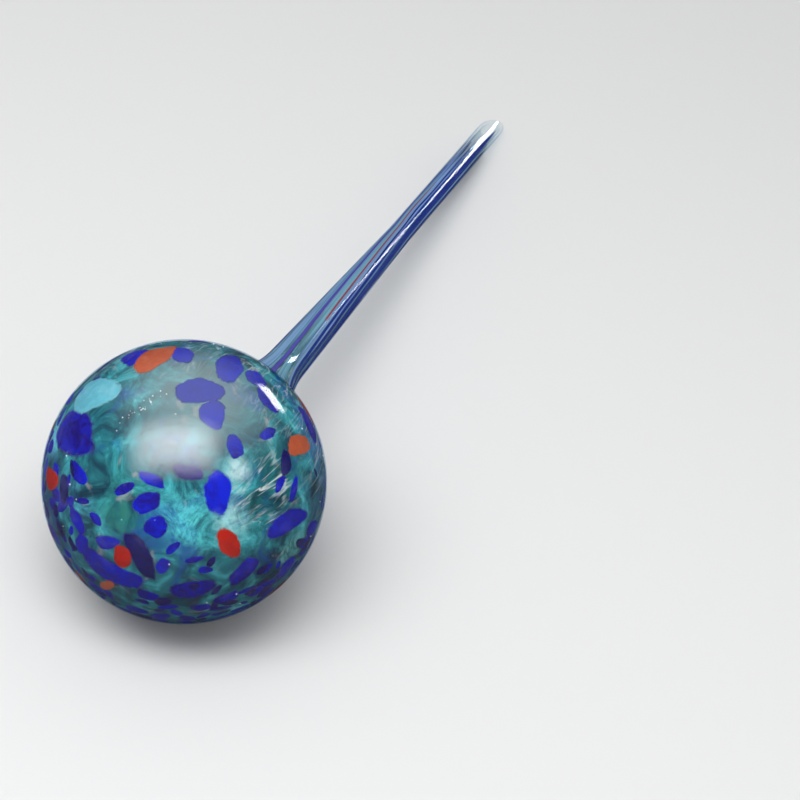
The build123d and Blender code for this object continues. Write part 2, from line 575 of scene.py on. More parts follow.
@dataclass(frozen=True)
class PaintedGlow:
    """A patch of the ground painted brighter or darker than the rest, with its reach in mm. The
    bright ones are painted light and painted highlights; the dark ones are darker patches.
    """

    across: float
    up: float
    reach: float
    colour: Rgb
    strength: float


@dataclass(frozen=True)
class Thread:
    """Thin lines in the ground: how they run, how wide they are, where they lie, their colour."""

    lines: Grain
    width: float
    places: Grain
    colour: Rgb
    strength: float = 0.8

    def laid(
        self, nodes: NodeTree, colour: Socket, place: Socket, drawn: Socket, zone: Socket
    ) -> Socket:
        """Lay the lines over a colour.

        Args:
            nodes: the ground's nodes.
            colour: the colour under the lines.
            place: where the point is.
            drawn: where it is in coordinates that are drawn along the stem.
            zone: how dense the lines are there.

        Returns:
            The colour with the lines.
        """
        aside = nodes.math("SUBTRACT", nodes.noise(drawn, self.lines), 0.5)
        line = nodes.span(nodes.math("ABSOLUTE", aside), self.width, 0.0)
        share = nodes.times(nodes.times(line, nodes.patches(place, self.places)), zone)
        return nodes.mix(nodes.times(share, self.strength), colour, self.colour)


THREAD_STRETCH: Triple = (4.5, 4.5, 0.9)
DARK_THREAD: Rgb = (0.007, 0.065, 0.061)
PALE_FIBRE: Rgb = (0.828, 0.850, 0.850)


@dataclass(frozen=True)
class GroundFinish:
    """The turquoise ground: clouds of teal with paler wisps, drawn into fibres towards the neck."""

    name: str = "turquoise_frit_ground"
    clouds: Grain = Grain(105.0, 8, 0.66, 0.7, 0.36, 0.58)
    cloud_stops: Stops = (
        (0.32, (0.005, 0.025, 0.050)),
        (0.43, (0.011, 0.076, 0.112)),
        (0.52, (0.022, 0.189, 0.223)),
        (0.61, (0.054, 0.387, 0.432)),
        (0.74, (0.234, 0.720, 0.738)),
    )
    blues: Grain = Grain(70.0, 4, 0.6, 1.0, 0.54, 0.70)
    blue_colour: Rgb = (0.014, 0.081, 0.342)
    blue_share: float = 0.75
    crushed: Grain = Grain(441.0, 4, 0.6, 0.4, 0.36, 0.60)
    crushed_least: float = 0.45
    # Bright glows are painted light and painted highlights in the ground; dark ones are darker
    # patches
    painted_glows: tuple[PaintedGlow, ...] = (
        PaintedGlow(0.02, -0.27, 11.0, (0.144, 0.810, 0.850), 0.9),
        PaintedGlow(0.32, -0.26, 7.0, (0.468, 0.850, 0.850), 0.8),
        PaintedGlow(0.36, 0.08, 5.0, (0.648, 0.850, 0.850), 0.8),
        PaintedGlow(-0.72, -0.12, 7.0, (0.144, 0.648, 0.850), 0.8),
        PaintedGlow(-0.42, -0.08, 12.0, (0.025, 0.189, 0.171), 0.6),
        PaintedGlow(0.62, 0.12, 11.0, (0.011, 0.081, 0.090), 0.8),
        PaintedGlow(0.90, 0.30, 12.0, (0.054, 0.162, 0.450), 0.9),
        PaintedGlow(0.96, -0.08, 14.0, (0.022, 0.076, 0.216), 0.9),
        PaintedGlow(0.74, -0.50, 9.0, (0.198, 0.594, 0.540), 0.8),
        PaintedGlow(-0.20, -0.42, 7.0, (0.014, 0.108, 0.270), 0.8),
        PaintedGlow(-0.90, 0.30, 8.0, (0.234, 0.720, 0.850), 0.8),
        PaintedGlow(-0.97, -0.05, 15.0, (0.014, 0.018, 0.144), 0.9),
        PaintedGlow(-0.84, -0.46, 10.0, (0.011, 0.029, 0.162), 0.8),
        PaintedGlow(-0.44, -0.24, 8.0, (0.036, 0.216, 0.153), 0.7),
    )
    # Painted haze: the pale veil of reflection laid over the ground's upper front
    painted_haze_colour: Rgb = (0.261, 0.342, 0.351)
    painted_haze_share: float = 0.75
    lines: Grain = Grain(2.4, 6, 0.7, 0.25, stretch=(5.5, 5.5, 0.55))
    line_stops: Stops = (
        (0.36, (0.036, 0.153, 0.270)),
        (0.50, (0.090, 0.342, 0.414)),
        (0.64, (0.342, 0.702, 0.756)),
    )
    line_zone: Range = (0.66, 0.86)
    blushes: Grain = Grain(140.0, 3, 0.5, 1.0, 0.62, 0.74)
    blush_colour: Rgb = (0.612, 0.486, 0.468)
    blush_share: float = 0.35
    threads: tuple[Thread, ...] = (
        Thread(
            Grain(1.6, 3, 0.5, 1.1, stretch=THREAD_STRETCH),
            0.070,
            Grain(91.0, 3, 0.5, 0.8, 0.36, 0.56),
            DARK_THREAD,
        ),
        Thread(
            Grain(1.3, 3, 0.5, 1.1, stretch=THREAD_STRETCH),
            0.030,
            Grain(88.0, 3, 0.5, 0.8, 0.40, 0.60),
            PALE_FIBRE,
        ),
        Thread(
            Grain(2.6, 3, 0.5, 1.1, stretch=THREAD_STRETCH),
            0.045,
            Grain(101.0, 3, 0.5, 0.8, 0.46, 0.66),
            PALE_FIBRE,
        ),
    )
    thread_zone: Range = (0.36, 0.66)
    wisp_spot: Range = (0.56, -0.10)
    wisp_reach: float = 15 * MM
    # Painted shade: share of the ground's colour left at the floor
    painted_underside_shade: float = 0.30
    bump_strength: float = 0.12
    bump_height: float = 0.4 * MM
    end_zone: Range = (1.0, 0.90)

    def material(self, outline: Outline, front: FrontView) -> bpy.types.Material:
        """Build the material.

        Args:
            outline: the globe's outline.
            front: the bulb's front, on which the glows are placed.

        Returns:
            The material of the ground.
        """
        nodes = NodeTree.named(self.name)
        place = nodes.place()
        drawn = nodes.attribute("drawn", "Vector")
        neckward = nodes.attribute("neckward")
        clouds = nodes.noise(place, self.clouds)
        colour = nodes.ramp(clouds, self.cloud_stops)
        blue = nodes.times(nodes.patches(place, self.blues), self.blue_share)
        colour = nodes.mix(blue, colour, self.blue_colour)
        colour = self.with_painted_glows(nodes, colour, clouds, outline, front)
        # Painted haze: a pale veil of reflection painted into the ground's colour
        painted_haze = nodes.times(nodes.painted_haze(place, outline, front), self.painted_haze_share)
        colour = nodes.mix(painted_haze, colour, self.painted_haze_colour)
        lines = nodes.ramp(nodes.noise(drawn, self.lines), self.line_stops)
        colour = nodes.mix(nodes.span(neckward, *self.line_zone), colour, lines)
        blush = nodes.times(nodes.patches(place, self.blushes), self.blush_share)
        colour = nodes.mix(blush, colour, self.blush_colour)
        wisp_spot = outline.on_bulb(front.direction(*self.wisp_spot))
        wisps = nodes.near(place, wisp_spot, self.wisp_reach)
        zone = nodes.math("MAXIMUM", nodes.span(neckward, *self.thread_zone), wisps)
        for thread in self.threads:
            colour = thread.laid(nodes, colour, place, drawn, zone)
        # Painted shade: the ground darkens towards the floor
        colour = nodes.with_painted_shade(colour, place, self.painted_underside_shade, outline.bulb_radius)
        glass = nodes.matte(colour, nodes.bump(clouds, self.bump_strength, self.bump_height))
        return nodes.finish(nodes.covering(nodes.span(neckward, *self.end_zone), glass))

    def with_painted_glows(
        self, nodes: NodeTree, colour: Socket, clouds: Socket, outline: Outline, front: FrontView
    ) -> Socket:
        """Lay the painted glows over a colour, broken up by the clouds and by finely crushed glass.

        Args:
            nodes: the ground's nodes.
            colour: the colour under the glows.
            clouds: the noise of the clouds.
            outline: the globe's outline.
            front: the bulb's front, on which the glows are placed.

        Returns:
            The colour with the glows.
        """
        place = nodes.place()
        cloudy = nodes.span(clouds, self.clouds.start, self.clouds.end)
        crushed = nodes.patches(place, self.crushed)
        least = self.crushed_least
        crushed = nodes.math("MULTIPLY_ADD", crushed, 1 - least, least)
        for glow in self.painted_glows:
            spot = outline.on_bulb(front.direction(glow.across, glow.up))
            share = nodes.times(nodes.near(place, spot, glow.reach * MM), cloudy)
            share = nodes.times(nodes.times(share, crushed), glow.strength)
            colour = nodes.mix(share, colour, glow.colour)
        return colour


@dataclass(frozen=True)
class ChipFinish:
    """Glass of one colour, deeper in some chips, paler at its soft edge and under the painted haze
    of reflection on the front.
    """

    colour: Rgb
    deep: Rgb
    pale: Rgb
    edge_share: float
    # How pale the painted haze of reflection makes the chips
    chip_painted_haze_share: float
    clouds: Grain = Grain(240.0, 5, 0.62, 1.2, 0.36, 0.64)
    cloud_share: float = 0.50
    tone_share: float = 0.60
    spots: Grain = Grain(150.0, 3, 0.55, 0.8, 0.50, 0.72)
    spot_share: float = 0.45
    edge_waver: float = 0.5
    edge_zone: Range = (0.80, 1.0)
    end_zone: Range = (0.98, 0.80)
    # Painted shade: share of the chips' colour left at the floor
    painted_underside_shade: float = 0.28

    def material(self, name: str, outline: Outline, front: FrontView) -> bpy.types.Material:
        """Build the material.

        Args:
            name: the material's name.
            outline: the globe's outline.
            front: the bulb's front, on part of which a painted haze of reflection pales the chips.

        Returns:
            The material of the chips.
        """
        nodes = NodeTree.named(name)
        place = nodes.place()
        clouds = nodes.noise(place, self.clouds)
        cloudy = nodes.span(clouds, self.clouds.start, self.clouds.end)
        cloudy = nodes.times(cloudy, self.cloud_share)
        # The tone attribute holds each chip's random tone and, near the front's lit spot, painted
        # light
        tone = nodes.math("MULTIPLY_ADD", nodes.attribute("tone"), self.tone_share, cloudy)
        colour = nodes.mix(tone, self.deep, self.colour)
        spots = nodes.times(nodes.patches(place, self.spots), self.spot_share * self.edge_share)
        colour = nodes.mix(spots, colour, self.pale)
        waver = nodes.math("SUBTRACT", clouds, 0.5)
        rim = nodes.math("MULTIPLY_ADD", waver, self.edge_waver, nodes.attribute("rim"))
        edge = nodes.times(nodes.span(rim, *self.edge_zone), self.edge_share)
        # Painted haze: a veil of reflection pales the chips on the upper front
        painted_haze_on_chip = nodes.times(nodes.painted_haze(place, outline, front), self.chip_painted_haze_share)
        colour = nodes.mix(nodes.math("MAXIMUM", edge, painted_haze_on_chip), colour, self.pale)
        # Painted shade: the chips darken towards the floor
        colour = nodes.with_painted_shade(colour, place, self.painted_underside_shade, outline.bulb_radius)
        return nodes.finish(nodes.covering(nodes.span(rim, *self.end_zone), nodes.matte(colour)))


@dataclass(frozen=True)
class StreakFinish:
    """Glass of one colour that was drawn out: fine lines along its length, soft at its edges."""

    colour: Rgb
    deep: Rgb
    cover: float
    lines: Grain = Grain(3.0, 5, 0.65, 0.3, 0.34, 0.66, (9.0, 9.0, 0.10))
    gaps: Grain = Grain(2.0, 3, 0.55, 0.0, 0.34, 0.56, (7.0, 7.0, 0.14))
    edge_zone: Range = (1.0, 0.60)

    def material(self, name: str) -> bpy.types.Material:
        """Build the material.

        Args:
            name: the material's name.

        Returns:
            The material of the streaks.
        """
        nodes = NodeTree.named(name)
        drawn = nodes.attribute("drawn", "Vector")
        glass = nodes.matte(nodes.mix(nodes.patches(drawn, self.lines), self.deep, self.colour))
        gaps = nodes.patches(drawn, self.gaps)
        body = nodes.math("MULTIPLY_ADD", gaps, 1 - self.cover, self.cover)
        share = nodes.times(nodes.span(nodes.attribute("rim"), *self.edge_zone), body)
        return nodes.finish(nodes.covering(share, glass))


@dataclass(frozen=True)
class FilmFinish:
    """The thin film of mixed colour on the stem, which thins out into lines before the tip."""

    name: str = "drawn_colour_film"
    lines: Grain = Grain(2.4, 6, 0.65, 0.2, stretch=(6.0, 6.0, 0.12))
    stops: Stops = (
        (0.34, (0.054, 0.099, 0.342)),
        (0.46, (0.135, 0.225, 0.540)),
        (0.56, (0.270, 0.414, 0.756)),
        (0.70, (0.540, 0.774, 0.850)),
    )
    comb: Grain = Grain(2.2, 4, 0.6, 0.2, stretch=(8.0, 8.0, 0.10))
    comb_share: float = 0.75
    cover: float = 1.28
    end_zone: Range = (-0.08, 0.12)

    def material(self) -> bpy.types.Material:
        """Build the material.

        Returns:
            The material of the film.
        """
        nodes = NodeTree.named(self.name)
        drawn = nodes.attribute("drawn", "Vector")
        glass = nodes.matte(nodes.ramp(nodes.noise(drawn, self.lines), self.stops))
        left = nodes.math("SUBTRACT", self.cover, nodes.attribute("tipward"))
        comb = nodes.times(nodes.noise(drawn, self.comb), self.comb_share)
        share = nodes.span(nodes.math("SUBTRACT", left, comb), *self.end_zone)
        return nodes.finish(nodes.covering(share, glass))


# Colour, deep colour, pale colour, how pale the edges are and how pale the chips are under the
# painted haze of reflection
CHIP_FINISHES: dict[Frit, ChipFinish] = {
    Frit.RED: ChipFinish(
        (0.62, 0.018, 0.006), (0.34, 0.006, 0.005), (0.46, 0.08, 0.05), 0.3, 0.0
    ),
    Frit.ORANGE: ChipFinish(
        (0.60, 0.115, 0.045), (0.44, 0.075, 0.030), (0.52, 0.22, 0.16), 0.5, 0.3
    ),
    Frit.SKY_BLUE: ChipFinish(
        (0.17, 0.54, 0.64), (0.11, 0.38, 0.48), (0.44, 0.72, 0.75), 0.6, 0.0
    ),
    Frit.NAVY: ChipFinish(
        (0.014, 0.010, 0.170), (0.006, 0.004, 0.060), (0.12, 0.13, 0.32), 0.5, 0.6
    ),
    Frit.COBALT: ChipFinish(
        (0.006, 0.016, 0.620), (0.012, 0.005, 0.155), (0.120, 0.130, 0.400), 0.6, 0.75
    ),
}
# Colour, deep colour and how much of a streak is covered at its thinnest
STREAK_FINISHES: dict[Frit, StreakFinish] = {
    Frit.RED: StreakFinish((0.44, 0.085, 0.085), (0.28, 0.05, 0.08), 0.8),
    Frit.VIOLET: StreakFinish((0.120, 0.090, 0.460), (0.070, 0.060, 0.320), 0.9),
    Frit.COBALT: StreakFinish((0.020, 0.060, 0.400), (0.008, 0.012, 0.130), 0.95),
    Frit.SKY_BLUE: StreakFinish((0.280, 0.470, 0.640), (0.150, 0.260, 0.520), 0.8),
    Frit.TURQUOISE: StreakFinish((0.220, 0.460, 0.540), (0.110, 0.250, 0.400), 0.8),
}
# The bubbles' pale colour is a painted glint
BUBBLE_GLINT = PlainFinish("bubble_glint", (0.78, 0.85, 0.85), 0.25, 0.5)
PALE_FLOOR = PlainFinish("pale_floor", (0.77, 0.77, 0.765), 0.55, 0.0)


def any_direction(dice: random.Random) -> Vector:
    """Draw a direction evenly from all round."""
    return Vector((dice.gauss(0, 1), dice.gauss(0, 1), dice.gauss(0, 1))).normalized()


def linked(name: str, data: bpy.types.ID) -> bpy.types.Object:
    """Put an object of that name, with its mesh, lamp or camera, into the scene."""
    made = bpy.data.objects.new(name, data)
    bpy.context.scene.collection.objects.link(made)
    return made


def mesh_from(bm: bmesh.types.BMesh, name: str) -> bpy.types.Mesh:
    """Turn a finished bmesh into a mesh.

    Args:
        bm: the bmesh. It is freed here.
        name: the mesh's name.

    Returns:
        The new mesh.
    """
    mesh = bpy.data.meshes.new(name)
    bm.to_mesh(mesh)
    bm.free()
    return mesh


def added(bm: bmesh.types.BMesh, mesh: bpy.types.Mesh) -> list[bmesh.types.BMVert]:
    """Add a mesh to a bmesh.

    Args:
        bm: the bmesh.
        mesh: the mesh that is added.

    Returns:
        The new vertices.
    """
    before = len(bm.verts)
    bm.from_mesh(mesh)
    bm.verts.ensure_lookup_table()
    return bm.verts[before:]


def piece_from(
    bm: bmesh.types.BMesh, name: str, material: bpy.types.Material, slot: str
) -> bpy.types.Object:
    """Turn a finished bmesh into a smooth piece that rides on the globe.

    Args:
        bm: the mesh, in the globe's frame. It is freed here.
        name: the piece's name.
        material: its material.
        slot: the record's material slot; not used.

    Returns:
        The new piece.
    """
    for face in bm.faces:
        face.smooth = True
    mesh = mesh_from(bm, name)
    mesh.materials.append(material)
    piece = linked(name, mesh)
    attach(piece, BODY)
    return piece


def spun(outline: Outline, line: list[Vector], steps: int) -> bmesh.types.BMesh:
    """Turn a line about the stem into a skin.

    Args:
        outline: the globe's outline.
        line: the line's points in the globe's frame, at turn 0.
        steps: how many faces the skin has round the stem.

    Returns:
        A bmesh of the skin, merged where the line meets the stem's axis.
    """
    bm = bmesh.new()
    corners = [bm.verts.new(point) for point in line]
    edges = [bm.edges.new(pair) for pair in zip(corners, corners[1:])]
    bmesh.ops.spin(
        bm,
        geom=corners + edges,
        cent=outline.centre,
        axis=outline.axis,
        angle=2 * math.pi,
        steps=steps,
        use_merge=True,
    )
    bmesh.ops.remove_doubles(bm, verts=bm.verts, dist=MERGE)
    bmesh.ops.recalc_face_normals(bm, faces=bm.faces)
    return bm


@dataclass
class ClearGlass:
    """The clear glass: a polished skin over the frit, the bare tip with its lip, and the bore."""

    outline: Outline
    finish: ClearFinish
    wall: float = 1.8 * MM
    bore_radius: float = 2.6 * MM
    lip_round: float = 0.32 * MM
    lip_segments: int = 4
    overrun: float = 6 * MM
    bulb_rings: int = 84
    stem_rings: int = 40
    turns: int = 112

    def line(self) -> list[Vector]:
        """Draw the wall's section.

        Returns:
            Points from the crown along the skin to past the mouth, and back along the bore.
        """
        start, end = self.outline.shoulder_run, self.outline.neck_run
        runs = [end * ring / self.bulb_rings for ring in range(self.bulb_rings)]
        stem = self.outline.mouth_run + self.overrun - end
        runs += [end + stem * ring / self.stem_rings for ring in range(self.stem_rings + 1)]
        stem_wall = self.outline.stem_radius - self.bore_radius
        outside = [self.outline.at(run, 0) for run in runs]
        inside = []
        for run in reversed(runs):
            share = min(1.0, max(0.0, (run - start) / (end - start)))
            inside.append(self.outline.at(run, 0, self.wall + (stem_wall - self.wall) * share))
        return outside + inside

    def build(self) -> bpy.types.Object:
        """Turn the wall, cut the slanted mouth and round its lip.

        Returns:
            The piece of clear glass.
        """
        bm = spun(self.outline, self.line(), self.turns)
        cut = bmesh.ops.bisect_plane(
            bm,
            geom=bm.verts[:] + bm.edges[:] + bm.faces[:],
            plane_co=self.outline.centre + self.outline.axis * self.outline.mouth_reach,
            plane_no=self.outline.mouth_facing,
            clear_outer=True,
        )
        rims = [edge for edge in cut["geom_cut"] if isinstance(edge, bmesh.types.BMEdge)]
        bmesh.ops.bridge_loops(bm, edges=rims)
        bmesh.ops.bevel(
            bm,
            geom=rims,
            offset=self.lip_round,
            segments=self.lip_segments,
            profile=0.5,
            affect="EDGES",
            material=-1,
        )
        bmesh.ops.recalc_face_normals(bm, faces=bm.faces)
        piece = piece_from(bm, "clear_glass", self.finish.material(), CLEAR_SLOT)
        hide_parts("clear_stem")
        return piece


@dataclass
class TurquoiseGround:
    """The turquoise glass of the bulb, which ends along the stem in drawn-out points."""

    outline: Outline
    front: FrontView
    finish: GroundFinish
    depth: float = 0.34 * MM
    thickness: float = 1.0 * MM
    thinning_power: int = 8
    rings: int = 110
    turns: int = 144
    points_start: float = 0.86
    points_length: float = 46 * MM
    points_rise: float = 0.4
    comb_scale: float = 4.5
    comb_height: float = 0.3
    comb_level: float = 0.45
    comb_gain: float = 0.9

    def line(self) -> list[Vector]:
        """Draw the ground's section.

        Returns:
            Points from the crown to the ground's end, and back on the inside.
        """
        end = self.outline.neck_run
        runs = [end * ring / self.rings for ring in range(self.rings + 1)]
        outside = [self.outline.at(run, 0, self.depth) for run in runs]
        inside = []
        for run in reversed(runs):
            left = 1 - (run / end) ** self.thinning_power
            inside.append(self.outline.at(run, 0, self.depth + self.thickness * left))
        return outside + inside[1:]

    def longer(self, turn: float) -> float:
        """How far the end is drawn out at a turn."""
        spot = Vector((math.cos(turn), math.sin(turn), self.comb_height))
        comb = noise.noise(spot * self.comb_scale)
        return max(0.0, self.comb_level + self.comb_gain * comb) * self.points_length

    def build(self) -> bpy.types.Object:
        """Turn the ground and draw its end out unevenly along the stem.

        Returns:
            The piece of turquoise glass.
        """
        bm = spun(self.outline, self.line(), self.turns)
        drawn = bm.verts.layers.float_vector.new("drawn")
        neckward = bm.verts.layers.float.new("neckward")
        for vert in bm.verts:
            run, turn, depth = self.outline.locate(vert.co)
            share = run / self.outline.neck_run
            vert[drawn] = self.outline.drawn(run, turn)
            vert[neckward] = share
            if share > self.points_start:
                reach = (share - self.points_start) / (1 - self.points_start)
                far = run + self.longer(turn) * reach**2
                vert.co = self.outline.at(far, turn, depth * (1 - self.points_rise * reach))
        material = self.finish.material(self.outline, self.front)
        piece = piece_from(bm, "turquoise_ground", material, Frit.TURQUOISE.slot)
        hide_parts("turquoise_bulb")
        return piece


@dataclass(frozen=True)
class ChipPlace:
    """Where a chip lies on the bulb and how large it is."""

    direction: Vector
    along: Vector
    length: float
    width: float


@dataclass
class FritChips:
    """All chips of one colour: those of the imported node, and small ones scattered between them."""

    outline: Outline
    frit: Frit
    depth: float
    finish: ChipFinish
    front: FrontView
    small_count: int
    small_limit: float
    seed: int
    skin_depth: float = 0.1 * MM
    half_thickness: float = 0.22 * MM
    growth: float = 1.30
    spacing: float = 0.9950
    room: float = 0.60
    neck_limit: float = 0.72
    low_start: float = -0.36
    low_gain: float = 0.20
    crowd_level: float = 0.40
    crowd_scale: float = 2.4
    crowd_gain: float = 0.9
    height_loss: float = 0.9
    left_start: float = 0.4
    left_gain: float = 1.2
    small_lengths: Triple = (2.4, 8.4, 4.0)
    small_widths: Range = (0.35, 0.8)
    side_counts: tuple[int, int] = (5, 6)
    side_shift: float = 0.25
    side_reaches: Range = (0.72, 1.12)
    corner_power: float = 7.0
    corner_limit: float = 1.15
    bend_limit: float = 0.3
    bend_rest: float = 0.3
    rounding: float = 0.6
    tone_limit: float = 0.6
    tone_slope: float = 1.6
    tone_aside: float = 0.5
    # Chips near this spot on the front get a brighter tone: painted light
    painted_light_spot: Range = (0.16, -0.16)
    painted_light_start: float = 0.86
    segments: int = 32
    rings: int = 12
    small_segments: int = 12
    small_rings: int = 4

    def packed_places(self) -> Iterator[ChipPlace]:
        """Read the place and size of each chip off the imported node.

        Returns:
            The places, chip by chip.
        """
        bm = bmesh.new()
        bm.from_mesh(frame["nodes"][f"{self.frit.value}_chips"].data)
        bmesh.ops.remove_doubles(bm, verts=bm.verts, dist=MERGE)
        left = set(bm.verts)
        skin_radius = self.outline.bulb_radius - self.skin_depth
        for vert in bm.verts:
            if vert not in left:
                continue
            skin = [found.co - self.outline.centre for found in self.island(vert, left)]
            skin = [away for away in skin if away.length > skin_radius]
            yield self.measured(sum(skin, Vector()).normalized(), skin)
        bm.free()

    @staticmethod
    def island(first: bmesh.types.BMVert, left: set) -> list[bmesh.types.BMVert]:
        """Collect the vertices that hang together with one.

        Args:
            first: the vertex to start from.
            left: the vertices not yet collected, from which the found ones are taken out.

        Returns:
            The vertices found.
        """
        left.discard(first)
        found, queue = [first], [first]
        while queue:
            for edge in queue.pop().link_edges:
                for vert in edge.verts:
                    if vert in left:
                        left.discard(vert)
                        found.append(vert)
                        queue.append(vert)
        return found

    @staticmethod
    def measured(middle: Vector, skin: list[Vector], tries: int = 36) -> ChipPlace:
        """Find a chip's longest direction.

        Args:
            middle: direction of its middle from the bulb's centre.
            skin: its outer corners, from the bulb's centre.
            tries: how many directions are tried.

        Returns:
            The chip's place, length and width.
        """
        start = middle.orthogonal().normalized()
        best = None
        for number in range(tries):
            along = Matrix.Rotation(math.pi * number / tries, 3, middle) @ start
            sizes = []
            for direction in (along, middle.cross(along)):
                marks = [away.dot(direction) for away in skin]
                sizes.append(max(marks) - min(marks))
            if best is None or sizes[0] > best.length:
                best = ChipPlace(middle, along, *sizes)
        return best

    def bare(self, direction: Vector) -> bool:
        """Tell where no small chips lie: at the neck and on the open part of the front.

        Args:
            direction: a direction from the bulb's centre.

        Returns:
            Whether it is bare there.
        """
        low = direction.dot(self.front.up) < self.low_start
        limit = self.small_limit + self.low_gain if low else self.small_limit
        neck = direction.dot(self.outline.axis) > self.neck_limit
        return neck or direction.dot(self.front.facing) > limit

    def density(self, direction: Vector) -> float:
        """Tell how thickly small chips lie: thicker in clusters, low down and on the left.

        Args:
            direction: a direction from the bulb's centre.

        Returns:
            The chance that a chip drawn there stays.
        """
        crowd = noise.noise(direction * self.crowd_scale + Vector((self.seed, 0, 0)))
        level = self.crowd_level + self.crowd_gain * crowd - self.height_loss * direction.z
        leftward = max(0.0, -direction.dot(self.front.across) - self.left_start)
        return level + self.left_gain * leftward

    def near_packed(self, direction: Vector, packed: list[ChipPlace]) -> bool:
        """Tell whether a packed chip is too near for a small one.

        Args:
            direction: the small chip's direction from the bulb's centre.
            packed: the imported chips.

        Returns:
            Whether one is too near.
        """
        radius = self.outline.bulb_radius
        return any(
            (direction - other.direction).length * radius < self.room * other.length
            for other in packed
        )

    def small_places(self, dice: random.Random, packed: list[ChipPlace]) -> Iterator[ChipPlace]:
        """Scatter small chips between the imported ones.

        Args:
            dice: where the places and sizes are drawn from.
            packed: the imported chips.

        Returns:
            The places, chip by chip.
        """
        placed: list[Vector] = []
        while len(placed) < self.small_count:
            direction = any_direction(dice)
            if self.bare(direction) or dice.random() > self.density(direction):
                continue
            if any(direction.dot(other) > self.spacing for other in placed):
                continue
            if self.near_packed(direction, packed):
                continue
            placed.append(direction)
            turn = Matrix.Rotation(dice.uniform(0, math.pi), 3, direction)
            along = turn @ direction.orthogonal().normalized()
            length = dice.triangular(*self.small_lengths) * MM
            yield ChipPlace(direction, along, length, length * dice.uniform(*self.small_widths))

    def sides(self, dice: random.Random) -> list[Range]:
        """Draw a chip's sides.

        Args:
            dice: where they are drawn from.

        Returns:
            For each side the direction that it faces, and how far it is from the middle.
        """
        count = dice.randint(*self.side_counts)
        sides = []
        for number in range(count):
            shift = dice.uniform(-self.side_shift, self.side_shift)
            facing = 2 * math.pi * (number + shift) / count
            sides.append((facing, dice.uniform(*self.side_reaches)))
        return sides

    def reach(self, angle: float, sides: list[Range]) -> float:
        """Tell how far a chip reaches: to the nearest side, with its corners rounded off.

        Args:
            angle: the direction from the chip's middle.
            sides: the chip's sides.

        Returns:
            The reach, as a share of half its size.
        """
        cuts = [max(0.0, math.cos(angle - facing)) / away for facing, away in sides]
        cuts.append(1 / self.corner_limit)
        return sum(cut**self.corner_power for cut in cuts) ** (-1 / self.corner_power)

    @staticmethod
    def lens(segments: int, rings: int) -> bpy.types.Mesh:
        """Make a round lens, from which chips are shaped.

        Args:
            segments: how many faces it has round its middle.
            rings: how many it has from side to side.

        Returns:
            The lens.
        """
        bm = bmesh.new()
        bmesh.ops.create_uvsphere(bm, u_segments=segments, v_segments=rings, radius=1)
        return mesh_from(bm, "lens")

    def add_chips(
        self,
        bm: bmesh.types.BMesh,
        lens: bpy.types.Mesh,
        places: list[ChipPlace],
        dice: random.Random,
    ) -> None:
        """Add a chip at each place.

        Args:
            bm: the mesh that they are added to, with its rim and tone layers.
            lens: the round lens that each one is shaped from. It is removed here.
            places: where they lie.
            dice: where the outlines and tones are drawn from.
        """
        rim = bm.verts.layers.float["rim"]
        tone = bm.verts.layers.float["tone"]
        # Chips near the lit spot get a brighter tone: painted light over their random tone
        painted_light_direction = self.front.direction(*self.painted_light_spot)
        for place in places:
            sides = self.sides(dice)
            bend = dice.uniform(-self.bend_limit, self.bend_limit)
            painted_light = (place.direction.dot(painted_light_direction) - self.painted_light_start) / (1 - self.painted_light_start)
            tone_and_painted_light = max(self.tone_limit * dice.random(), painted_light)
            across = place.direction.cross(place.along)
            for vert in added(bm, lens):
                x, y, z = vert.co
                swell = self.growth * self.reach(math.atan2(y, x), sides)
                bow = bend * (x * x - self.bend_rest) * place.width / 2
                ray = place.direction * self.outline.bulb_radius
                ray += across * (y * place.width / 2 * swell + bow)
                ray += place.along * (x * place.length / 2 * swell)
                crown = math.copysign(abs(z) ** self.rounding, z)
                sunk = self.depth + self.half_thickness * (1 - crown)
                vert.co = self.outline.on_bulb(ray.normalized(), sunk)
                vert[rim] = math.hypot(x, y)
                vert[tone] = tone_and_painted_light + self.tone_slope * bend * (x + self.tone_aside * y)
        bpy.data.meshes.remove(lens)

    def build(self) -> bpy.types.Object:
        """Shape one rounded lens of glass for each chip.

        Returns:
            The piece with all chips of the colour.
        """
        dice = random.Random(self.seed)
        bm = bmesh.new()
        bm.verts.layers.float.new("rim")
        bm.verts.layers.float.new("tone")
        packed = list(self.packed_places())
        self.add_chips(bm, self.lens(self.segments, self.rings), packed, dice)
        small = list(self.small_places(dice, packed))
        self.add_chips(bm, self.lens(self.small_segments, self.small_rings), small, dice)
        bmesh.ops.recalc_face_normals(bm, faces=bm.faces)
        colour = self.frit.value
        material = self.finish.material(f"{colour}_chip_glass", self.outline, self.front)
        piece = piece_from(bm, f"{colour}_frit", material, self.frit.slot)
        piece.visible_shadow = False
        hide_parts(f"{self.frit.value}_chips")
        return piece


@dataclass(frozen=True)
class Streak:
    """One drawn-out streak.

    It has a turn where it leaves the flare and a spread about the stem, both in degrees, a start
    in mm past the shoulder, and an end in mm from the bulb's centre.
    """

    turn: float
    spread: float
    start: float
    end: float = 218.0


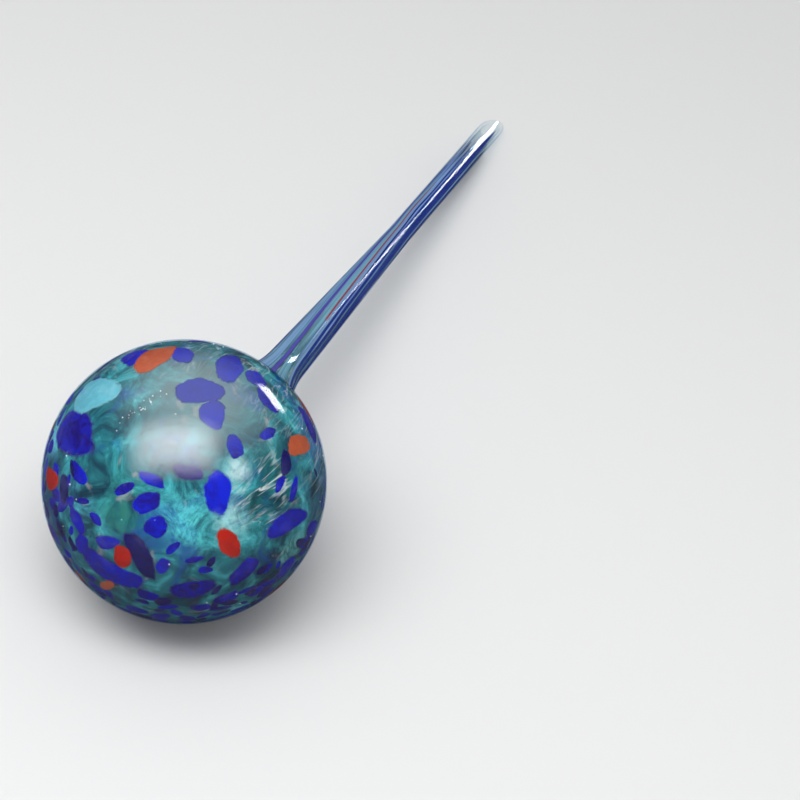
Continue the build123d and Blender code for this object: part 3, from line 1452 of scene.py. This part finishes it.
STREAKS: dict[Frit, list[Streak]] = {
    Frit.RED: [Streak(38, 6, 62, 182)],
    Frit.VIOLET: [Streak(8, 12, 9, 196), Streak(-44, 12, 14, 170), Streak(168, 12, 12, 200)],
    Frit.SKY_BLUE: [
        Streak(-68, 26, 5),
        Streak(-18, 32, 2, 222),
        Streak(48, 10, 4, 204),
        Streak(196, 26, 4),
        Streak(262, 22, 7),
    ],
    Frit.COBALT: [
        Streak(58, 10, -1, 210),
        Streak(73, 12, 3, 204),
        Streak(103, 42, -2, 227),
        Streak(140, 20, 2),
        Streak(224, 18, 0),
        Streak(290, 30, 2, 221),
    ],
    Frit.TURQUOISE: [
        Streak(-4, 14, 22, 200),
        Streak(26, 24, 20, 190),
        Streak(88, 14, 24, 190),
        Streak(122, 10, 20),
        Streak(180, 16, 24),
        Streak(212, 12, 20),
        Streak(244, 14, 20),
        Streak(272, 12, 20),
        Streak(318, 24, 22),
    ],
}


@dataclass
class DrawnStreaks:
    """All streaks of one colour, which lie just under the skin of the neck and the stem."""

    outline: Outline
    frit: Frit
    depth: float
    finish: StreakFinish
    streaks: list[Streak]
    thickness: float = 0.12 * MM
    lengthwise: int = 90
    crosswise: int = 8
    crowding: float = 1.4
    head: float = 0.06
    tail: float = 0.16
    least_width: float = 0.02
    waver: float = 0.05
    waver_length: float = 14 * MM
    waver_step: float = 3.7

    def build(self) -> bpy.types.Object:
        """Make one thin ribbon for each streak, rounded at its head and pointed at its tail.

        Returns:
            The piece with all streaks of the colour.
        """
        bm = bmesh.new()
        drawn = bm.verts.layers.float_vector.new("drawn")
        rim = bm.verts.layers.float.new("rim")
        centre_run = self.outline.mouth_run - self.outline.mouth_reach
        for number, streak in enumerate(self.streaks):
            first = self.outline.shoulder_run + streak.start * MM
            last = centre_run + streak.end * MM
            grid = bmesh.ops.create_grid(
                bm, x_segments=self.lengthwise, y_segments=self.crosswise, size=1
            )
            for vert in grid["verts"]:
                along, aside = (vert.co.x + 1) / 2, vert.co.y
                run = first + (last - first) * along**self.crowding
                turn = math.radians(streak.turn + aside * streak.spread / 2 * self.width(along))
                waver = (number * self.waver_step, run / self.waver_length, self.depth / MM)
                turn += self.waver * noise.noise(Vector(waver))
                vert.co = self.outline.at(run, turn + self.outline.twist_at(run), self.depth)
                vert[drawn] = self.outline.drawn(run, turn)
                vert[rim] = abs(aside)
        bmesh.ops.recalc_face_normals(bm, faces=bm.faces)
        bmesh.ops.solidify(bm, geom=bm.faces[:], thickness=self.thickness)
        colour = self.frit.value
        material = self.finish.material(f"{colour}_streak_glass")
        piece = piece_from(bm, f"{colour}_drawn_streaks", material, self.frit.slot)
        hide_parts(f"{self.frit.value}_streaks")
        return piece

    def width(self, along: float) -> float:
        """Tell how wide a streak is.

        Args:
            along: share of its length.

        Returns:
            Share of its full spread.
        """
        width = 1.0
        if along < self.head:
            width = math.sqrt(max(0.0, 1 - (1 - along / self.head) ** 2))
        if along > 1 - self.tail:
            width = math.sqrt(max(0.0, (1 - along) / self.tail))
        return max(width, self.least_width)


@dataclass
class DrawnFilm:
    """The thin film of mixed colour under the streaks, from the flare nearly to the tip."""

    outline: Outline
    finish: FilmFinish
    depth: float = 0.32 * MM
    thickness: float = 0.10 * MM
    overlap: float = 12 * MM
    bare_tip: float = 12 * MM
    rings: int = 70
    turns: int = 64

    def build(self) -> bpy.types.Object:
        """Make a thin tube whose pattern is twisted with the streaks.

        Returns:
            The piece of film.
        """
        first = self.outline.neck_run - self.overlap
        last = self.outline.mouth_run - self.bare_tip
        runs = [first + (last - first) * ring / self.rings for ring in range(self.rings + 1)]
        outside = [self.outline.at(run, 0, self.depth) for run in runs]
        inner_depth = self.depth + self.thickness
        inside = [self.outline.at(run, 0, inner_depth) for run in reversed(runs)]
        bm = spun(self.outline, outside + inside + outside[:1], self.turns)
        drawn = bm.verts.layers.float_vector.new("drawn")
        tipward = bm.verts.layers.float.new("tipward")
        start = self.outline.profile(first)[0].x
        for vert in bm.verts:
            away = vert.co - self.outline.centre
            run = first + away.dot(self.outline.axis) - start
            turn = self.outline.turn_of(away) - self.outline.twist_at(run)
            vert[drawn] = self.outline.drawn(run, turn)
            vert[tipward] = (run - first) / (last - first)
        return piece_from(bm, "drawn_film", self.finish.material(), Frit.SKY_BLUE.slot)


@dataclass
class SeedBubbles:
    """Tiny bubbles that were caught between the clear skin and the ground."""

    outline: Outline
    front: FrontView
    finish: PlainFinish
    depth: float = 0.30 * MM
    radii: tuple[float, ...] = (0.10, 0.12, 0.15, 0.22)
    neck_limit: float = 0.7
    cluster_spot: Range = (-0.31, 0.49)
    cluster_length: float = 0.09
    cluster_width: float = 0.09 / 4
    cluster_slope: float = 0.6
    cluster_count: int = 26
    loose_count: int = 46
    seed: int = 21

    def build(self) -> bpy.types.Object:
        """Make a cluster of bubbles on the front and loose ones all round.

        Returns:
            The piece with all bubbles.
        """
        dice = random.Random(self.seed)
        spots = []
        across, up = self.cluster_spot
        for _ in range(self.cluster_count):
            slide = dice.gauss(0, self.cluster_length)
            rise = up + self.cluster_slope * slide + dice.gauss(0, self.cluster_width)
            spots.append(self.front.direction(across + slide, rise))
        spots += [any_direction(dice) for _ in range(self.loose_count)]
        ball = bmesh.new()
        bmesh.ops.create_icosphere(ball, subdivisions=2, radius=1)
        bubble = mesh_from(ball, "bubble")
        bm = bmesh.new()
        for spot in spots:
            if spot.dot(self.outline.axis) > self.neck_limit:
                continue
            radius = dice.choice(self.radii) * MM
            for vert in added(bm, bubble):
                vert.co = self.outline.on_bulb(spot, self.depth) + vert.co * radius
        bpy.data.meshes.remove(bubble)
        return piece_from(bm, "seed_bubbles", self.finish.material(), CLEAR_SLOT)


@dataclass(frozen=True)
class SoftLight:
    """A soft lamp: where it hangs, how large and strong it is, and where its edges fade."""

    name: str
    direction: Triple
    distance: float
    size: Range
    power: float
    edges: Range
    gloss_only: bool = False

    def hang(self, target: Vector, right: Vector) -> bpy.types.Object:
        """Hang the lamp so that it shines on a target.

        Args:
            target: the point that it is turned to.
            right: the direction along which its long side lies.

        Returns:
            The lamp.
        """
        light = bpy.data.lights.new(self.name, "AREA")
        light.shape = "RECTANGLE"
        light.size, light.size_y = self.size
        light.energy = self.power
        nodes = NodeTree(light)
        spot = nodes.add("NewGeometry", {}).outputs["Parametric"]
        level = 1.0
        for axis in "XY":
            aside = nodes.math("MULTIPLY_ADD", nodes.part(spot, axis), 2.0, -1.0)
            fade = nodes.span(nodes.math("ABSOLUTE", aside), self.edges[1], self.edges[0])
            level = nodes.times(level, fade)
        nodes.finish(nodes.add("Emission", {"Strength": level}).outputs[0], "OutputLight")
        direction = Vector(self.direction).normalized()
        side = (right - direction * direction.dot(right)).normalized()
        turn = Matrix((side, direction.cross(side), direction)).transposed().to_4x4()
        lamp = linked(self.name, light)
        lamp.matrix_world = Matrix.Translation(target + direction * self.distance) @ turn
        lamp.visible_camera = False
        lamp.visible_diffuse = not self.gloss_only
        return lamp


@dataclass
class Studio:
    """The pale floor, the soft light and the camera."""

    outline: Outline
    floor_finish: PlainFinish
    floor_half: float = 6.0
    sky_colour: Rgb = (0.97, 0.98, 1.0)
    sky_strength: float = 0.48
    overhead: SoftLight = SoftLight(
        "softbox", (-0.345, 0.030, 0.935), 0.85, (1.3, 0.56), 20.0, (0.15, 1.0)
    )
    panel: SoftLight = SoftLight(
        "panel", (-0.345, 0.030, 0.935), 0.80, (1.50, 0.92), 66.0, (0.30, 1.0), True
    )
    behind: SoftLight = SoftLight(
        "strip_light", (0.917, -0.289, 0.252), 1.2, (0.46, 0.26), 17.0, (0.5, 1.0), True
    )
    behind_reach: float = 190 * MM
    lens: float = 119.9
    sensor: float = 36.0
    eye_offset: Triple = (-454.0 * MM, -205.4 * MM, 497.6 * MM)
    right: Triple = (0.3959, -0.9130, 0.0984)
    up: Triple = (0.5973, 0.3375, 0.7274)

    def floor(self) -> bpy.types.Object:
        """Lay the plain pale floor.

        Returns:
            The floor.
        """
        bm = bmesh.new()
        bmesh.ops.create_grid(bm, x_segments=2, y_segments=2, size=self.floor_half)
        mesh = mesh_from(bm, "floor")
        mesh.materials.append(self.floor_finish.material())
        floor = linked("floor", mesh)
        return floor

    def sky(self) -> None:
        """Light the studio evenly from all sides."""
        world = bpy.data.worlds.new("studio")
        world.use_nodes = True
        background = world.node_tree.nodes["Background"]
        background.inputs["Color"].default_value = (*self.sky_colour, 1.0)
        background.inputs["Strength"].default_value = self.sky_strength
        bpy.context.scene.world = world

    def lights(self) -> None:
        """Hang the softbox and the panel over the bulb, and the strip light beyond the tip.

        The panel and the strip light show only as highlights on the glass.
        """
        right = Vector(self.right)
        self.overhead.hang(self.outline.centre, right)
        self.panel.hang(self.outline.centre, right)
        self.behind.hang(self.outline.centre + self.outline.axis * self.behind_reach, right)

    def camera(self) -> bpy.types.Object:
        """Set up the camera where the viewer stands, a little rolled.

        Returns:
            The camera.
        """
        data = bpy.data.cameras.new("camera")
        data.lens = self.lens
        data.sensor_width = self.sensor
        right, up = Vector(self.right), Vector(self.up)
        turn = Matrix((right, up, right.cross(up))).transposed().to_4x4()
        camera = linked("camera", data)
        eye = self.outline.centre + Vector(self.eye_offset)
        camera.matrix_world = Matrix.Translation(eye) @ turn
        bpy.context.scene.camera = camera
        return camera


# How many small chips of each colour there are, and how far they reach into the front
SMALL_CHIPS: dict[Frit, tuple[int, float]] = {
    Frit.RED: (6, 0.1),
    Frit.ORANGE: (7, 0.1),
    Frit.SKY_BLUE: (6, 0.1),
    Frit.NAVY: (100, 0.70),
    Frit.COBALT: (260, 0.76),
}
CHIP_DEPTHS: dict[Frit, float] = {
    Frit.RED: 0.10 * MM,
    Frit.ORANGE: 0.12 * MM,
    Frit.SKY_BLUE: 0.14 * MM,
    Frit.NAVY: 0.17 * MM,
    Frit.COBALT: 0.20 * MM,
}
STREAK_DEPTHS: dict[Frit, float] = {
    Frit.RED: 0.10 * MM,
    Frit.VIOLET: 0.14 * MM,
    Frit.COBALT: 0.18 * MM,
    Frit.SKY_BLUE: 0.22 * MM,
    Frit.TURQUOISE: 0.26 * MM,
}
FIRST_CHIP_SEED = 3


def main() -> None:
    """Build the globe's pieces and the studio in order."""
    logging.basicConfig(level=logging.INFO, format="%(name)s: %(message)s")
    bpy.context.scene.view_settings.view_transform = "Standard"
    outline = Outline.from_frame(frame["record"])
    front = FrontView()
    pieces = [
        ClearGlass(outline, ClearFinish()).build(),
        TurquoiseGround(outline, front, GroundFinish()).build(),
    ]
    for seed, (frit, finish) in enumerate(CHIP_FINISHES.items(), start=FIRST_CHIP_SEED):
        count, limit = SMALL_CHIPS[frit]
        chips = FritChips(outline, frit, CHIP_DEPTHS[frit], finish, front, count, limit, seed)
        pieces.append(chips.build())
    for frit, finish in STREAK_FINISHES.items():
        streaks = DrawnStreaks(outline, frit, STREAK_DEPTHS[frit], finish, STREAKS[frit])
        pieces.append(streaks.build())
    pieces.append(DrawnFilm(outline, FilmFinish()).build())
    pieces.append(SeedBubbles(outline, front, BUBBLE_GLINT).build())
    for piece in pieces:
        LOG.info("%s: %d faces", piece.name, len(piece.data.polygons))
    studio = Studio(outline, PALE_FLOOR)
    studio.floor()
    studio.sky()
    studio.lights()
    studio.camera()


if __name__ == "__main__":
    main()
